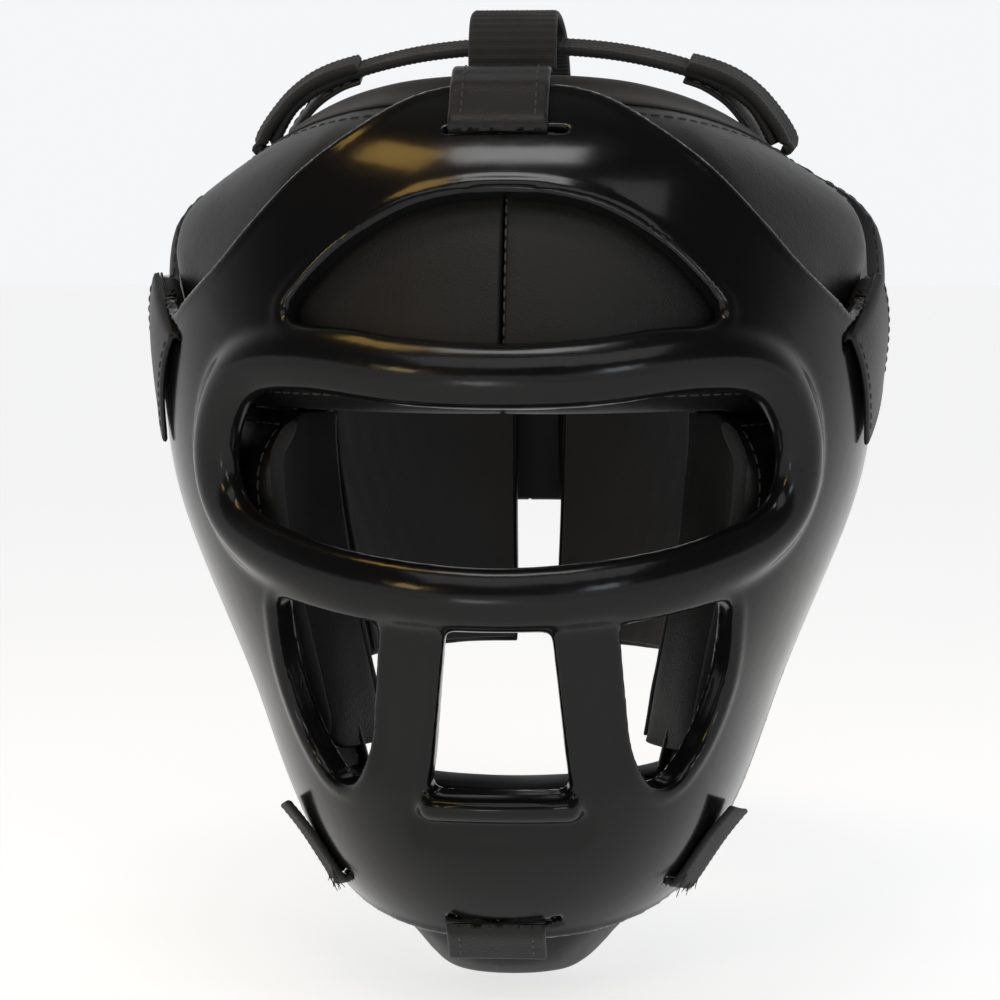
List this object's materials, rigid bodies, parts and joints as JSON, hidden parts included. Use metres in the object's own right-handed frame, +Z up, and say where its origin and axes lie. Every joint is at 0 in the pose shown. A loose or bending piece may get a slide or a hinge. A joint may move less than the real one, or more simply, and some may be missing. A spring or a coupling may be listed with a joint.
{
  "type": "boxing headgear",
  "caption": "Padded black head guard with a removable moulded face grill, crown webbing, peel-open tabs and a rear hook-and-loop closure.",
  "frame": {"origin": "centre of the head opening, in the plane of the lowest rim of the chin pad", "axes": "+Z up through the crown, -Y forward out of the face opening, +X to the wearer's left"},
  "size_m": [0.2248, 0.2681, 0.2806],
  "materials": {
    "pu_leather": "matte black fine-grained coated leather",
    "strap_leather": "satin black coated leather with stitched edges",
    "lining": "brushed dark lining cloth",
    "foam": "closed-cell foam, hidden inside the covers",
    "binding": "folded edge binding",
    "webbing": "ribbed woven webbing",
    "hook_and_loop": "looped pile",
    "label": "woven label, blank, with a light border line",
    "grill_plastic": "glossy moulded black plastic"
  },
  "bodies": {
    "guard": {"forehead_cover_left": "pu_leather", "forehead_cover_right": "pu_leather", "chin_cover": "pu_leather", "cheek_cover_left": "pu_leather", "cheek_foam_left": "foam", "cheek_lining_left": "lining", "cheek_cover_right": "pu_leather", "cheek_foam_right": "foam", "cheek_lining_right": "lining", "ear_cover_left": "pu_leather", "ear_foam_left": "foam", "ear_lining_left": "lining", "ear_cover_right": "pu_leather", "ear_foam_right": "foam", "ear_lining_right": "lining", "rear_cover_left": "pu_leather", "rear_foam_left": "foam", "rear_lining_left": "lining", "rear_cover_right": "pu_leather", "rear_foam_right": "foam", "rear_lining_right": "lining", "forehead_foam": "foam", "chin_foam": "foam", "forehead_lining": "lining", "chin_lining": "lining", "forehead_top_binding": "binding", "face_binding_left": "binding", "face_binding_right": "binding", "crown_strap_side": "webbing", "crown_strap_front_back": "webbing", "crown_anchor_left": "strap_leather", "crown_anchor_right": "strap_leather", "rear_strap": "strap_leather", "rear_loop_patch": "hook_and_loop", "rear_label": "label"},
    "crown_tail_left": {"crown_strap_tail_left": "webbing"},
    "crown_tail_right": {"crown_strap_tail_right": "webbing"},
    "rear_tail": {"rear_strap_tail": "strap_leather"},
    "grill": {"face_grill": "grill_plastic", "top_tab_base": "strap_leather", "chin_tab_base": "strap_leather", "temple_strap_base_left": "strap_leather", "jaw_strap_base_left": "webbing", "temple_strap_base_right": "strap_leather", "jaw_strap_base_right": "webbing"},
    "temple_tail_left": {"temple_strap_tail_left": "strap_leather"},
    "jaw_tail_left": {"jaw_strap_tail_left": "webbing"},
    "temple_tail_right": {"temple_strap_tail_right": "strap_leather"},
    "jaw_tail_right": {"jaw_strap_tail_right": "webbing"},
    "top_flap": {"top_tab_flap": "strap_leather"},
    "chin_flap": {"chin_tab_flap": "strap_leather"}
  },
  "joints": [
    {"name": "grill_release", "type": "slide", "parent": "guard", "child": "grill", "axis": [0, -1, 0], "range_m": [0, 0.15]},
    {"name": "top_tab_peel", "type": "hinge", "parent": "grill", "child": "top_flap", "pos_m": [0, -0.10282, 0.24405], "axis": [1, 0, 0], "range_deg": [0, 110]},
    {"name": "chin_tab_peel", "type": "hinge", "parent": "grill", "child": "chin_flap", "pos_m": [0, -0.10973, 0.01464], "axis": [-1, 0, 0], "range_deg": [0, 80]},
    {"name": "temple_strap_left_peel", "type": "hinge", "parent": "grill", "child": "temple_tail_left", "pos_m": [0.10552, -0.069, 0.19216], "axis": [-0.2789, -0.814, -0.5095], "range_deg": [0, 110]},
    {"name": "jaw_strap_left_peel", "type": "hinge", "parent": "grill", "child": "jaw_tail_left", "pos_m": [0.05122, -0.07666, 0.02042], "axis": [0.1984, 0.9491, -0.2448], "range_deg": [0, 110]},
    {"name": "temple_strap_right_peel", "type": "hinge", "parent": "grill", "child": "temple_tail_right", "pos_m": [-0.10552, -0.069, 0.19216], "axis": [-0.2789, 0.814, 0.5095], "range_deg": [0, 110]},
    {"name": "jaw_strap_right_peel", "type": "hinge", "parent": "grill", "child": "jaw_tail_right", "pos_m": [-0.05122, -0.07666, 0.02042], "axis": [0.1984, -0.9491, 0.2448], "range_deg": [0, 110]},
    {"name": "crown_tail_left_peel", "type": "hinge", "parent": "guard", "child": "crown_tail_left", "pos_m": [0.0852, -0.008, 0.2476], "axis": [0, 1, 0], "range_deg": [0, 100]},
    {"name": "crown_tail_right_peel", "type": "hinge", "parent": "guard", "child": "crown_tail_right", "pos_m": [-0.0852, -0.008, 0.2476], "axis": [0, -1, 0], "range_deg": [0, 100]},
    {"name": "rear_closure_open", "type": "hinge", "parent": "guard", "child": "rear_tail", "pos_m": [-0.00502, 0.125, 0.145], "axis": [0, 0, -1], "range_deg": [0, 100]}
  ]
}
